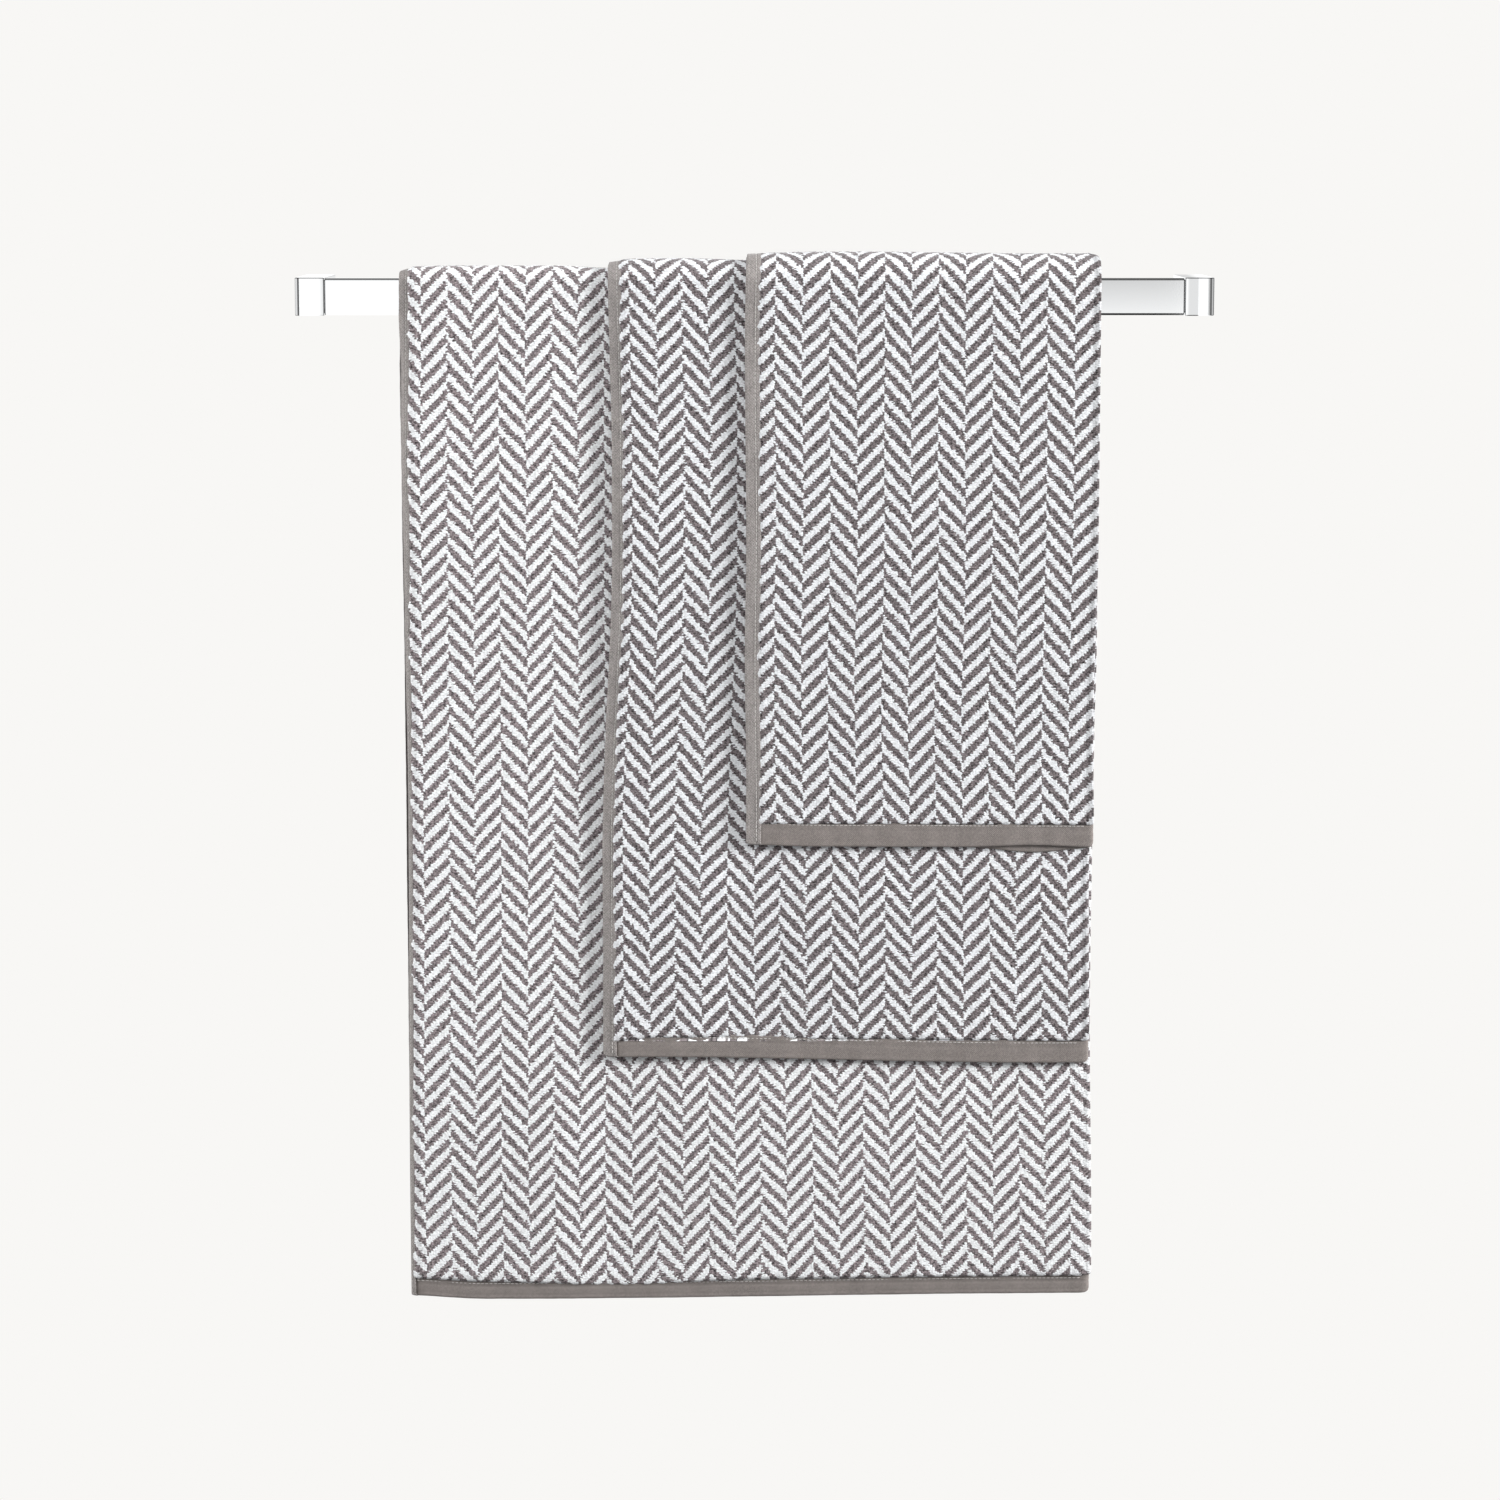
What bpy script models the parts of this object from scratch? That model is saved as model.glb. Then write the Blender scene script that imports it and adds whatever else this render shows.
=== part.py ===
"""Three folded bath towels hung over a square chrome towel rail.

Run with: blender --background --python part.py

Frame: +Z up, X along the rail, the wall is the plane Y = 0 and the towels face -Y.
The origin lies on the wall, midway between the two posts, level with the rail's centreline.
Units are metres.
"""

import math
from collections import namedtuple

import bmesh
import bpy
from mathutils import Matrix, Vector

# ---------------------------------------------------------------- driving dimensions

# Rail: a rectangular tube between two square posts.
RAIL_LENGTH = 0.655  # outer face to outer face of the posts
POST_WIDTH = 0.021
POST_HEIGHT = 0.027
POST_PROJECTION = 0.085  # wall to the posts' front faces
POST_WALL = 0.0025  # metal round the pocket for the wall plate
POST_OUTER_ROUNDING = 0.0032  # the front outer corner, which a hand brushes past
POST_EDGE = 0.0006
BAR_HEIGHT = 0.0262
BAR_THICKNESS = 0.010
BAR_WALL = 0.0015
BAR_SETBACK = 0.0004  # the bar's front face lies this far behind the posts'
BAR_ROUNDING = 0.0015  # long edges
BAR_END_ROUNDING = 0.0008
SPIGOT_REACH = 0.014  # into the bar
SPIGOT_SEAT = 0.003  # into the post

# Wall plate, hidden in the pocket at the back of each post.
PLATE_DEPTH = 0.009
PLATE_SCREW_HOLE = 0.0045
PLATE_SCREW_PITCH = 0.012
GRUB_DIAMETER = 0.005
GRUB_LENGTH = 0.004
GRUB_HEX = 0.0025  # across the flats of the socket
GRUB_HEX_DEPTH = 0.0015

# Towels: each is folded in half lengthways and hung over the bar, its fold to the right.
Towel = namedtuple("Towel", "name width length front_drop layer side_hem end_hem")
TOWELS = (  # from the bar outwards; front_drop is from the bar's centreline to the hem's lower edge
    Towel("bath_sheet", 1.00, 1.50, 0.729, 0.0041, 0.0062, 0.014),
    Towel("bath_towel", 0.70, 1.25, 0.549, 0.0023, 0.0085, 0.017),
    Towel("hand_towel", 0.50, 0.90, 0.3925, 0.0020, 0.0085, 0.018),
)
FOLD_X = 0.2455  # the folded edges lie in one line
HEM_THICKNESS = 0.0015
INNER_SHOWS = 0.0018  # the under layer's side hem peeps out this far
HEM_FOLD_INSET = 0.0015  # the flat end hem folds tighter than the pile
LABEL_WIDTH = 0.014
LABEL_HEIGHT = 0.030
LABEL_THICKNESS = 0.0005
LABEL_FROM_SIDE = 0.045

GAP = 0.0003  # between pieces that touch
ARC_STEPS = 8  # facets to a quarter turn

# ---------------------------------------------------------------- derived places

POST_X = (RAIL_LENGTH - POST_WIDTH) / 2
POST_INNER_X = POST_X - POST_WIDTH / 2
BAR_FRONT_Y = -(POST_PROJECTION - BAR_SETBACK)
BAR_BACK_Y = BAR_FRONT_Y + BAR_THICKNESS
BAR_Y = (BAR_FRONT_Y + BAR_BACK_Y) / 2
BAR_LENGTH = 2 * (POST_INNER_X - GAP)
POCKET_DEPTH = PLATE_DEPTH + GAP
PLATE_WIDTH = POST_WIDTH - 2 * (POST_WALL + GAP)
PLATE_HEIGHT = POST_HEIGHT - 2 * (POST_WALL + GAP)
SPIGOT_THICKNESS = BAR_THICKNESS - 2 * (BAR_WALL + GAP)
SPIGOT_HEIGHT = BAR_HEIGHT - 2 * (BAR_WALL + GAP)

MATERIALS = {  # colour, roughness, metallic
    "chrome": ((0.80, 0.82, 0.83), 0.06, 1.0),
    "zinc": ((0.50, 0.51, 0.52), 0.40, 1.0),
    "steel": ((0.32, 0.33, 0.35), 0.35, 1.0),
    "terry_pile": ((0.47, 0.45, 0.45), 0.95, 0.0),
    "flat_hem": ((0.25, 0.23, 0.22), 0.85, 0.0),
    "label_satin": ((0.86, 0.86, 0.84), 0.45, 0.0),
}

# ---------------------------------------------------------------- shared helpers


def clear_scene():
    for obj in list(bpy.data.objects):
        bpy.data.objects.remove(obj)


def material(slot):
    """The Principled material of a slot, made once."""
    found = bpy.data.materials.get(slot)
    if found:
        return found
    colour, roughness, metallic = MATERIALS[slot]
    made = bpy.data.materials.new(slot)
    made.use_nodes = True
    shader = made.node_tree.nodes["Principled BSDF"]
    shader.inputs["Base Color"].default_value = (*colour, 1.0)
    shader.inputs["Roughness"].default_value = roughness
    shader.inputs["Metallic"].default_value = metallic
    return made


def add_object(name, mesh_data, slot, location=(0, 0, 0), group=None):
    """Turns a bmesh into a named object with its material, under its group's empty."""
    bmesh.ops.recalc_face_normals(mesh_data, faces=mesh_data.faces)
    mesh = bpy.data.meshes.new(name)
    mesh_data.to_mesh(mesh)
    mesh_data.free()
    mesh.materials.append(material(slot))
    obj = bpy.data.objects.new(name, mesh)
    obj.location = location
    obj.parent = group
    bpy.context.scene.collection.objects.link(obj)
    mesh.shade_smooth()
    mesh.set_sharp_from_angle(angle=math.radians(35))
    return obj


def add_group(name):
    """An empty that carries the pieces that move together."""
    group = bpy.data.objects.new(name, None)
    bpy.context.scene.collection.objects.link(group)
    return group


def box_mesh(size):
    """A box of that size, centred on its own origin."""
    shape = bmesh.new()
    bmesh.ops.create_cube(shape, size=1.0)
    bmesh.ops.scale(shape, vec=size, verts=shape.verts)
    return shape


def round_edges(shape, edges, radius, segments):
    bmesh.ops.bevel(
        shape, geom=edges, offset=radius, offset_type="OFFSET",
        segments=segments, profile=0.5, affect="EDGES", clamp_overlap=True,
    )


def edges_where(shape, test):
    """The edges whose two ends both pass the test."""
    return [edge for edge in shape.edges if all(test(vert.co) for vert in edge.verts)]


def cylinder_mesh(diameter, length, sides=24, axis="Z"):
    """A closed cylinder centred on its own origin."""
    shape = bmesh.new()
    bmesh.ops.create_cone(
        shape, cap_ends=True, segments=sides,
        radius1=diameter / 2, radius2=diameter / 2, depth=length,
    )
    if axis == "Y":
        bmesh.ops.rotate(shape, verts=shape.verts, matrix=Matrix.Rotation(math.pi / 2, 3, "X"))
    return shape


def cut(target, cutter_mesh, location):
    """Takes a shape away from an object with an exact Boolean."""
    name = f"{target.name}_cut_{len(target.modifiers)}"
    cutter = add_object(name, cutter_mesh, "zinc", location)
    cutter.hide_render = True
    cutter.display_type = "WIRE"
    modifier = target.modifiers.new(name, "BOOLEAN")
    modifier.object = cutter
    modifier.operation = "DIFFERENCE"
    modifier.solver = "EXACT"


# ---------------------------------------------------------------- rail


def build_bar(group):
    """The rectangular tube, with soft long edges, open at both ends for its spigots."""
    shape = box_mesh((BAR_LENGTH, BAR_THICKNESS, BAR_HEIGHT))
    long_edges = [e for e in shape.edges if abs((e.verts[0].co - e.verts[1].co).x) > BAR_LENGTH / 2]
    round_edges(shape, long_edges, BAR_ROUNDING, ARC_STEPS // 2)
    end_edges = edges_where(shape, lambda co: co.x > BAR_LENGTH / 2 - GAP)
    end_edges += edges_where(shape, lambda co: co.x < -BAR_LENGTH / 2 + GAP)
    round_edges(shape, end_edges, BAR_END_ROUNDING, 2)
    bar = add_object("towel_bar", shape, "chrome", (0, BAR_Y, 0), group)
    bore = box_mesh((2 * BAR_LENGTH, BAR_THICKNESS - 2 * BAR_WALL, BAR_HEIGHT - 2 * BAR_WALL))
    cut(bar, bore, (0, BAR_Y, 0))


def build_post(side, sign, group):
    """A square arm from the wall to the bar's front, pocketed behind and recessed for its spigot."""
    shape = box_mesh((POST_WIDTH, POST_PROJECTION, POST_HEIGHT))
    front = -POST_PROJECTION / 2
    outer = sign * POST_WIDTH / 2
    corner = edges_where(shape, lambda co: co.y < front + GAP and co.x * sign > abs(outer) - GAP)
    round_edges(shape, corner, POST_OUTER_ROUNDING, ARC_STEPS // 2)
    sharp = [
        e for e in shape.edges
        if len(e.link_faces) == 2 and e.calc_face_angle() > math.radians(60)
        and any(v.co.y < -front - GAP for v in e.verts)
    ]
    round_edges(shape, sharp, POST_EDGE, 2)
    x = sign * POST_X
    post = add_object(f"post_{side}", shape, "chrome", (x, -POST_PROJECTION / 2, 0), group)

    pocket = (POST_WIDTH - 2 * POST_WALL, 2 * POCKET_DEPTH, POST_HEIGHT - 2 * POST_WALL)
    cut(post, box_mesh(pocket), (x, 0, 0))
    recess = (2 * SPIGOT_SEAT, SPIGOT_THICKNESS + 2 * GAP, SPIGOT_HEIGHT + 2 * GAP)
    cut(post, box_mesh(recess), (sign * POST_INNER_X, BAR_Y, 0))
    grub_hole = cylinder_mesh(GRUB_DIAMETER + 2 * GAP, 2 * POST_WALL)
    cut(post, grub_hole, (x, -PLATE_DEPTH / 2, -POST_HEIGHT / 2))


def build_spigot(side, sign, group):
    """The block that joins the bar's bore to the post's recess."""
    length = SPIGOT_REACH + SPIGOT_SEAT - GAP
    shape = box_mesh((length, SPIGOT_THICKNESS, SPIGOT_HEIGHT))
    lead_in = edges_where(shape, lambda co: co.x * sign < -length / 2 + GAP)
    round_edges(shape, lead_in, POST_EDGE, 1)
    middle = POST_INNER_X + SPIGOT_SEAT - GAP - length / 2
    add_object(f"bar_spigot_{side}", shape, "zinc", (sign * middle, BAR_Y, 0), group)


def build_wall_plate(side, sign, group):
    """The plate that is screwed to the wall and that the post slides over."""
    x = sign * POST_X
    shape = box_mesh((PLATE_WIDTH, PLATE_DEPTH, PLATE_HEIGHT))
    edges = edges_where(shape, lambda co: co.y < -PLATE_DEPTH / 2 + GAP)
    round_edges(shape, edges, POST_EDGE, 1)
    plate = add_object(f"wall_plate_{side}", shape, "zinc", (x, -PLATE_DEPTH / 2, 0), group)
    for up in (-1, 1):
        hole = cylinder_mesh(PLATE_SCREW_HOLE, 3 * PLATE_DEPTH, axis="Y")
        cut(plate, hole, (x, -PLATE_DEPTH / 2, up * PLATE_SCREW_PITCH / 2))
    dimple = cylinder_mesh(GRUB_DIAMETER + 2 * GAP, 2 * grub_bite())
    cut(plate, dimple, (x, -PLATE_DEPTH / 2, -PLATE_HEIGHT / 2))


def grub_bite():
    """How deep the dimple in the plate's underside is, for the grub screw's tip."""
    return GRUB_LENGTH - POST_WALL


def build_grub_screw(side, sign, group):
    """The headless screw under the post that clamps it to its wall plate."""
    x = sign * POST_X
    z = -POST_HEIGHT / 2 + GRUB_LENGTH / 2
    shape = cylinder_mesh(GRUB_DIAMETER, GRUB_LENGTH)
    screw = add_object(f"grub_screw_{side}", shape, "steel", (x, -PLATE_DEPTH / 2, z), group)
    socket = cylinder_mesh(GRUB_HEX / math.cos(math.pi / 6), 2 * GRUB_HEX_DEPTH, sides=6)
    cut(screw, socket, (x, -PLATE_DEPTH / 2, -POST_HEIGHT / 2))


# ---------------------------------------------------------------- towels


def arc(centre, radius, start, end, steps):
    """Points on a circle's arc, both ends included, in a plane of two coordinates."""
    angles = [start + (end - start) * i / steps for i in range(steps + 1)]
    return [(centre[0] + radius * math.cos(a), centre[1] + radius * math.sin(a)) for a in angles]


def rail_stations(front_z, back_z):
    """Where cloth meets the bar, front to back: (y, z) on the bar's skin and the way out from it.

    The cloth rises up the front face, turns over the two rounded top edges and falls behind.
    """
    top = BAR_HEIGHT / 2 - BAR_ROUNDING
    stations = [((BAR_FRONT_Y, front_z), (-1.0, 0.0))]
    for y, start in ((BAR_FRONT_Y + BAR_ROUNDING, math.pi), (BAR_BACK_Y - BAR_ROUNDING, math.pi / 2)):
        for i in range(ARC_STEPS + 1):
            angle = start - math.pi / 2 * i / ARC_STEPS
            out = (math.cos(angle), math.sin(angle))
            stations.append(((y + BAR_ROUNDING * out[0], top + BAR_ROUNDING * out[1]), out))
    stations.append(((BAR_BACK_Y, back_z), (1.0, 0.0)))
    return stations


def drape(name, outline, stations, slot, group):
    """Sweeps an outline of (x, distance off the bar) over the rail's stations and caps both ends."""
    shape = bmesh.new()
    rings = []
    for (y, z), (out_y, out_z) in stations:
        ring = [shape.verts.new((x, y + off * out_y, z + off * out_z)) for x, off in outline]
        rings.append(ring)
    for ring, following in zip(rings, rings[1:]):
        for i in range(len(outline)):
            j = (i + 1) % len(outline)
            shape.faces.new((ring[i], ring[j], following[j], following[i]))
    shape.faces.new(rings[0])
    shape.faces.new(rings[-1])
    return add_object(name, shape, slot, group=group)


def hairpin(left_inner, left_outer, fold, inner, outer):
    """The outline of cloth folded double, in (x, distance off the bar).

    inner and outer are the (near, far) faces of the two layers, which meet round the fold.
    """
    middle = (inner[0] + outer[1]) / 2
    big = (outer[1] - inner[0]) / 2
    small = (outer[0] - inner[1]) / 2
    centre = (fold - big, middle)
    outside = arc(centre, big, -math.pi / 2, math.pi / 2, ARC_STEPS)
    inside = arc(centre, small, math.pi / 2, -math.pi / 2, ARC_STEPS // 2)
    return [
        (left_inner, inner[0]), *outside, (left_outer, outer[1]),
        (left_outer, outer[0]), *inside, (left_inner, inner[1]),
    ]


def rectangle(left, right, near, far):
    return [(left, near), (right, near), (right, far), (left, far)]


def hem_faces(layer):
    """The near and far faces of a hem, which lies in the middle of its layer."""
    middle = sum(layer) / 2
    return (middle - HEM_THICKNESS / 2, middle + HEM_THICKNESS / 2)


def path_over_bar(off):
    """The length of cloth between the two straight drops, at that distance off the bar."""
    return math.pi * (BAR_ROUNDING + off) + BAR_THICKNESS - 2 * BAR_ROUNDING


def back_end(towel, off):
    """The height of the back hem's lower edge, from the towel's full length."""
    straight_top = BAR_HEIGHT / 2 - BAR_ROUNDING
    front = straight_top + towel.front_drop
    return straight_top - (towel.length - front - path_over_bar(off))


def build_towel(towel, base, group):
    """One folded towel whose under layer starts at that distance off the bar. Returns its thickness."""
    inner = (base, base + towel.layer)
    outer = (inner[1] + GAP, inner[1] + GAP + towel.layer)
    left = FOLD_X - towel.width / 2
    front_z = -towel.front_drop
    back_z = back_end(towel, sum(outer) / 2)
    pile_left = left + towel.side_hem + GAP
    inner_hem, outer_hem = hem_faces(inner), hem_faces(outer)
    side_inner = left - INNER_SHOWS

    pile = hairpin(pile_left - INNER_SHOWS, pile_left, FOLD_X, inner, outer)
    above_hem = towel.end_hem + GAP
    pile_run = rail_stations(front_z + above_hem, back_z + above_hem)
    drape(f"{towel.name}_pile", pile, pile_run, "terry_pile", group)

    whole_run = rail_stations(front_z, back_z)
    for layer, edge, faces in (("outer", left, outer_hem), ("inner", side_inner, inner_hem)):
        strip = rectangle(edge, edge + towel.side_hem, *faces)
        drape(f"{towel.name}_side_hem_{layer}", strip, whole_run, "flat_hem", group)

    hem = hairpin(pile_left - INNER_SHOWS, pile_left, FOLD_X - HEM_FOLD_INSET, inner_hem, outer_hem)
    for end, station, low in (("front", whole_run[0], front_z), ("back", whole_run[-1], back_z)):
        (y, _), out = station
        run = [((y, low), out), ((y, low + towel.end_hem), out)]
        drape(f"{towel.name}_end_hem_{end}", hem, run, "flat_hem", group)

    build_label(towel, left + LABEL_FROM_SIDE, back_z + towel.end_hem, outer[1] + GAP, group)
    return outer[1] - base


def build_label(towel, x, seam_z, off, group):
    """The blank care label, sewn in at the top of the back hem and lying over the pile."""
    y = BAR_BACK_Y + off + LABEL_THICKNESS / 2
    shape = box_mesh((LABEL_WIDTH, LABEL_THICKNESS, LABEL_HEIGHT))
    place = (x, y, seam_z + LABEL_HEIGHT / 2)
    add_object(f"{towel.name}_care_label", shape, "label_satin", place, group)


# ---------------------------------------------------------------- assembly


def main():
    clear_scene()
    rail = add_group("rail")
    build_bar(rail)
    for side, sign in (("left", -1), ("right", 1)):
        build_post(side, sign, rail)
        build_spigot(side, sign, rail)
        build_wall_plate(side, sign, rail)
        build_grub_screw(side, sign, rail)
    base = GAP
    for towel in TOWELS:
        base += build_towel(towel, base, add_group(towel.name)) + GAP


main()
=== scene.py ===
# %% [markdown]
# # A bath towel set on a square chrome rail
# Three towels hang over one bar: a bath sheet, a bath towel over it, and a hand towel over both.
# Each is folded in half lengthways, so its fold is at the right and its side hem at the left.
# The solid model already holds the rail and plain slabs for the cloth. It comes in as a fixed frame,
# and every piece made below takes its place from that frame.

# %% Load the solid model
import math
from collections import namedtuple
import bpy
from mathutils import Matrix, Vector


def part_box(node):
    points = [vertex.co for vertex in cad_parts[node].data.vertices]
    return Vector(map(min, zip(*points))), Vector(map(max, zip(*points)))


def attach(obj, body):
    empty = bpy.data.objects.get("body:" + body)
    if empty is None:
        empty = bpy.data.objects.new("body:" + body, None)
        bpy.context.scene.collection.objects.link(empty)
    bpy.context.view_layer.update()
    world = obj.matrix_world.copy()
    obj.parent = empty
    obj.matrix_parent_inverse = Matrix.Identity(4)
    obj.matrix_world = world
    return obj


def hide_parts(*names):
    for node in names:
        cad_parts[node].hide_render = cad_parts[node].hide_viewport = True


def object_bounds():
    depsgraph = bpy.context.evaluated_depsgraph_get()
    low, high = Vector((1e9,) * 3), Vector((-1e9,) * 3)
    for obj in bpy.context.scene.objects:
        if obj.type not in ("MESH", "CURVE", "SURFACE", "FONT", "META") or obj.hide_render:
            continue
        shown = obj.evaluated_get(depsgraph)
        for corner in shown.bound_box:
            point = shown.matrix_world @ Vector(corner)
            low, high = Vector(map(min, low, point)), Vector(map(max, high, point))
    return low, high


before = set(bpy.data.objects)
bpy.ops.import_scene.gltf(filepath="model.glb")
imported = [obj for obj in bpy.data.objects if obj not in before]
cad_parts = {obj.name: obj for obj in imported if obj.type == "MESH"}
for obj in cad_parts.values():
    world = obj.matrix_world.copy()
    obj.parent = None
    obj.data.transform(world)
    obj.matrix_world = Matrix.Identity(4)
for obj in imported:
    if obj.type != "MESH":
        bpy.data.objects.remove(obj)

from types import SimpleNamespace

import bmesh
import bpy
import numpy as np
from mathutils import Vector

solid_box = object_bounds()
print("solid model's box:", solid_box)

# %% [markdown]
# ## Reading the towels' places from the frame
# Each towel's slab says how far it stands off the bar, where it is folded and how low it hangs.
# The cloth lies in layers, so each towel starts where the one beneath it ends.

# %% Measure the bar and the three towels
bar_low, bar_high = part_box("towel_bar")
BAR_ROUNDING = 0.0015
LAYER_GAP = 0.0003
CLOTHS = {"bath_sheet": (1.00, 1.50), "bath_towel": (0.70, 1.25), "hand_towel": (0.50, 0.90)}  # cut sizes
spring_z = bar_high.z - BAR_ROUNDING  # where cloth leaves the straight drop and starts over the bar


def read_towel(name, width, length, base):
    """The places of one towel, from its solids. base is how far off the bar its under side lies."""
    pile_low, pile_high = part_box(f"{name}_pile")
    hem_low, hem_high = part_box(f"{name}_end_hem_front")
    side_low, side_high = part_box(f"{name}_side_hem_outer")
    top = bar_low.y - pile_low.y
    layer = (top - base - LAYER_GAP) / 2
    return SimpleNamespace(
        name=name, width=width, length=length, base=base, top=top, layer=layer,
        fold=pile_high.x, left=side_low.x, side_hem=side_high.x - side_low.x,
        front=hem_low.z, end_hem=hem_high.z - hem_low.z, back=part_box(f"{name}_end_hem_back")[0].z,
    )


towels = []
base = LAYER_GAP
for name, (width, length) in CLOTHS.items():
    towels.append(read_towel(name, width, length, base))
    base = towels[-1].top + LAYER_GAP
    t = towels[-1]
    print(f"{name}: a layer is {t.layer * 1000:.1f} mm thick, "
          f"the front hangs to {t.front * 1000:.0f} mm and the back to {t.back * 1000:.0f} mm")
sheet, bath, hand = towels

# %% [markdown]
# ## The camera
# The set is seen straight on from three metres, a little from above, with a long lens, so that its
# upright edges come together only slightly towards the floor.

# %% Place the camera
CAMERA_PLACE = Vector((-0.0033, -3.09, 0.095))
LOOK_DOWN = math.radians(7.97)

bpy.ops.object.camera_add(location=CAMERA_PLACE, rotation=(math.pi / 2 - LOOK_DOWN, 0, 0))
camera = bpy.context.object
camera.name = "camera"
camera.data.sensor_width = 36
camera.data.lens = 100.8
camera.data.clip_end = 30
bpy.context.scene.camera = camera
print("camera looks down by", round(math.degrees(LOOK_DOWN), 2), "degrees")

# %% [markdown]
# ## Floor and light
# The floor is a pale disc under the towels, too small to reach into the view from the front.
# Two soft boxes stand far out to the sides, so that their light grazes the cloth: it brings out the
# loops, and each towel's thick edge throws a soft shadow on the one beneath. A third hangs above, and
# a fourth lights the back.
# The room looks different to the chrome than to the eye: white in front, greyer to the right, with
# dark stretches overhead, underfoot and to both sides, which draw the dark lines along its edges.

# %% Lay the floor
FLOOR_Z = solid_box[0][2] - 0.42
bpy.ops.object.select_all(action="DESELECT")
bpy.ops.mesh.primitive_circle_add(vertices=96, radius=0.78, fill_type="NGON", location=(0, -0.1, FLOOR_Z))
floor = bpy.context.object
floor.name = "floor"
bpy.ops.object.transform_apply(location=True, rotation=True, scale=True)
floor.visible_glossy = False
floor.visible_diffuse = False
print("floor at", round(FLOOR_Z, 3))

# %% Set the soft boxes
TOWEL_MIDDLE = Vector((0, -0.09, -0.35))


def soft_box(name, place, size, power):
    """A square area light that looks at the middle of the towels."""
    turn = (TOWEL_MIDDLE - Vector(place)).to_track_quat("-Z", "Y").to_euler()
    bpy.ops.object.light_add(type="AREA", location=place, rotation=turn)
    light = bpy.context.object
    light.name = name
    light.data.shape = "SQUARE"
    light.data.size = size
    light.data.energy = power
    light.visible_glossy = False
    print(name, "gives", power, "watts")


soft_box("light_right", (4.75, -1.22, 0.9), 1.4, 500)
soft_box("light_left", (-2.9, -1.15, 0.9), 1.2, 88)
soft_box("light_top", (0.1, -2.0, 2.0), 0.9, 20)
soft_box("light_back", (-1.2, 3.4, 0.9), 2.0, 62)

# %% Add and link nodes
def add_node(tree, kind, inputs=None, **settings):
    """A node with its settings, and its inputs set or linked."""
    made = tree.nodes.new(kind)
    for key, value in settings.items():
        setattr(made, key, value)
    for key, value in (inputs or {}).items():
        if isinstance(value, bpy.types.NodeSocket):
            tree.links.new(value, made.inputs[key])
        else:
            made.inputs[key].default_value = value
    return made


def calc(tree, operation, *values):
    """A Math node's result."""
    return add_node(tree, "ShaderNodeMath", dict(enumerate(values)), operation=operation).outputs[0]


def calc_vector(tree, operation, a, b):
    """A Vector Math node's result."""
    return add_node(tree, "ShaderNodeVectorMath", {0: a, 1: b}, operation=operation).outputs[0]


def axes(tree, vector):
    """The X, Y and Z of a vector."""
    return add_node(tree, "ShaderNodeSeparateXYZ", {0: vector}).outputs


def noise(tree, place, scale, detail, **settings):
    """A Noise Texture's outputs."""
    inputs = {"Vector": place, "Scale": scale, "Detail": detail}
    return add_node(tree, "ShaderNodeTexNoise", inputs, **settings).outputs


def mixed(tree, amount, a, b, way="MIX"):
    """Two colours mixed."""
    inputs = {0: amount, 6: a, 7: b}
    return add_node(tree, "ShaderNodeMix", inputs, data_type="RGBA", blend_type=way).outputs[2]


def ramp(tree, value, stops, interpolation="LINEAR"):
    """A ColorRamp's colour, from (place, grey level) stops."""
    made = add_node(tree, "ShaderNodeValToRGB", {"Fac": value})
    made.color_ramp.interpolation = interpolation
    elements = made.color_ramp.elements
    while len(elements) < len(stops):
        elements.new(0.5)
    for element, (place, level) in zip(elements, stops):
        element.position = place
        element.color = (level, level, level, 1)
    return made.outputs["Color"]


# %% Paint the room
BACKDROP = (0.939, 0.930, 0.913, 1)  # the pale wall colour that the eye sees behind the set
ROOM_LIGHT = 0.32
MIRRORED_LIGHT = 1.1

world = bpy.data.worlds.new("pale_room")
bpy.context.scene.world = world
world.use_nodes = True
room = world.node_tree
room.nodes.clear()
direction = axes(room, add_node(room, "ShaderNodeTexCoord").outputs["Generated"])
height = calc(room, "MULTIPLY_ADD", direction["Z"], 0.5, 0.5)
across = calc(room, "MULTIPLY_ADD", direction["X"], 0.5, 0.5)
left_room = ramp(room, height, [
    (0.0, 1.0), (0.25, 1.0), (0.55, 1.1), (0.64, 0.80), (0.74, 0.10), (1.0, 0.16),
])
right_room = ramp(room, height, [
    (0.0, 0.02), (0.36, 0.02), (0.40, 1.0), (0.45, 0.83), (0.54, 0.60), (0.61, 0.62),
    (0.64, 0.04), (0.96, 0.04), (1.0, 0.60),
])
side = ramp(room, across, [(0.472, 0.0), (0.490, 1.0), (0.5525, 1.0), (0.5545, 0.0)])
edges = ramp(room, across, [
    (0.02, 0.65), (0.09, 0.60), (0.13, 0.16), (0.33, 0.05), (0.411, 0.04), (0.420, 1.0),
    (0.613, 1.0), (0.630, 0.28), (0.75, 0.12), (0.96, 0.15), (1.0, 0.50),
])
mirrored = mixed(room, 1.0, mixed(room, side, left_room, right_room), edges, "MULTIPLY")

# %% Show the room to the eye, the chrome and the cloth
ray = add_node(room, "ShaderNodeLightPath").outputs


def background(colour, strength):
    """A background's shader."""
    return add_node(room, "ShaderNodeBackground", {"Color": colour, "Strength": strength}).outputs[0]


def by_ray(kind, others, these):
    """One background for a kind of ray, and another for all others."""
    return add_node(room, "ShaderNodeMixShader", {0: ray[kind], 1: others, 2: these}).outputs[0]


lit = by_ray("Is Glossy Ray", background((1, 1, 1, 1), ROOM_LIGHT), background(mirrored, MIRRORED_LIGHT))
whole = by_ray("Is Camera Ray", lit, background(BACKDROP, 1.0))
add_node(room, "ShaderNodeOutputWorld", {"Surface": whole})
bpy.context.scene.view_settings.view_transform = "Standard"
print("room light", ROOM_LIGHT)

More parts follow.
